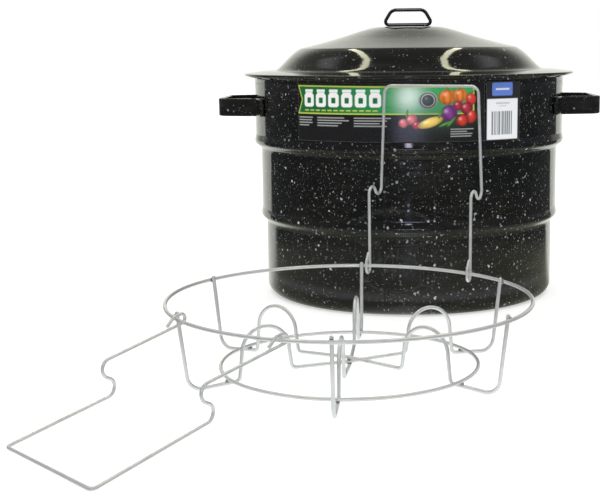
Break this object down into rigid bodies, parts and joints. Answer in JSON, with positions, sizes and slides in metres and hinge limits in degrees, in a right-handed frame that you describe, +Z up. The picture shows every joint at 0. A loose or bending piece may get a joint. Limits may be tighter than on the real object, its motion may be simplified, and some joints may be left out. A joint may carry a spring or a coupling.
{
  "type": "water bath canner",
  "caption": "Speckled enamel stock pot with three stepped tiers, domed lid and a wire jar rack with swinging lift handles, standing beside it.",
  "frame": {"origin": "centre of the pot's base, on the surface that it stands on", "axes": "+Z up along the pot's axis, +X towards the right side handle, -Y towards the rack and the front label"},
  "size_m": [0.4796, 0.8252, 0.3112],
  "materials": {
    "speckled_enamel": "glossy black vitreous enamel with white speckles",
    "bright_wire": "bright plated steel wire",
    "printed_label": null,
    "price_sticker": "semi-gloss printed paper with blank bars"
  },
  "bodies": {
    "pot": {"pot_shell": "speckled_enamel", "left_side_handle": "speckled_enamel", "right_side_handle": "speckled_enamel", "paper_label": "printed_label", "price_sticker": "price_sticker"},
    "lid": {"lid_shell": "speckled_enamel", "lid_handle": "speckled_enamel"},
    "rack": {"rack_top_ring": "bright_wire", "rack_bottom_ring": "bright_wire", "rack_cross_wire_1": "bright_wire", "rack_cross_wire_2": "bright_wire", "rack_cross_wire_3": "bright_wire"},
    "rear_lift_handle": {"rear_lift_handle": "bright_wire"},
    "front_lift_handle": {"front_lift_handle": "bright_wire"}
  },
  "joints": [
    {"name": "lid_lift", "type": "slide", "parent": "pot", "child": "lid", "axis": [0, 0, 1], "range_m": [0, 0.15]},
    {"name": "rack_lift", "type": "slide", "parent": "pot", "child": "rack", "axis": [0, 0, 1], "range_m": [0, 0.3]},
    {"name": "rear_handle_hinge", "type": "hinge", "parent": "rack", "child": "rear_lift_handle", "pos_m": [0.0083, -0.2297, 0.0625], "axis": [0.9135, -0.4067, 0], "range_deg": [0, 58]},
    {"name": "front_handle_hinge", "type": "hinge", "parent": "rack", "child": "front_lift_handle", "pos_m": [-0.1352, -0.4755, 0.0625], "axis": [-0.8028, 0.5962, 0], "range_deg": [0, 156]}
  ]
}
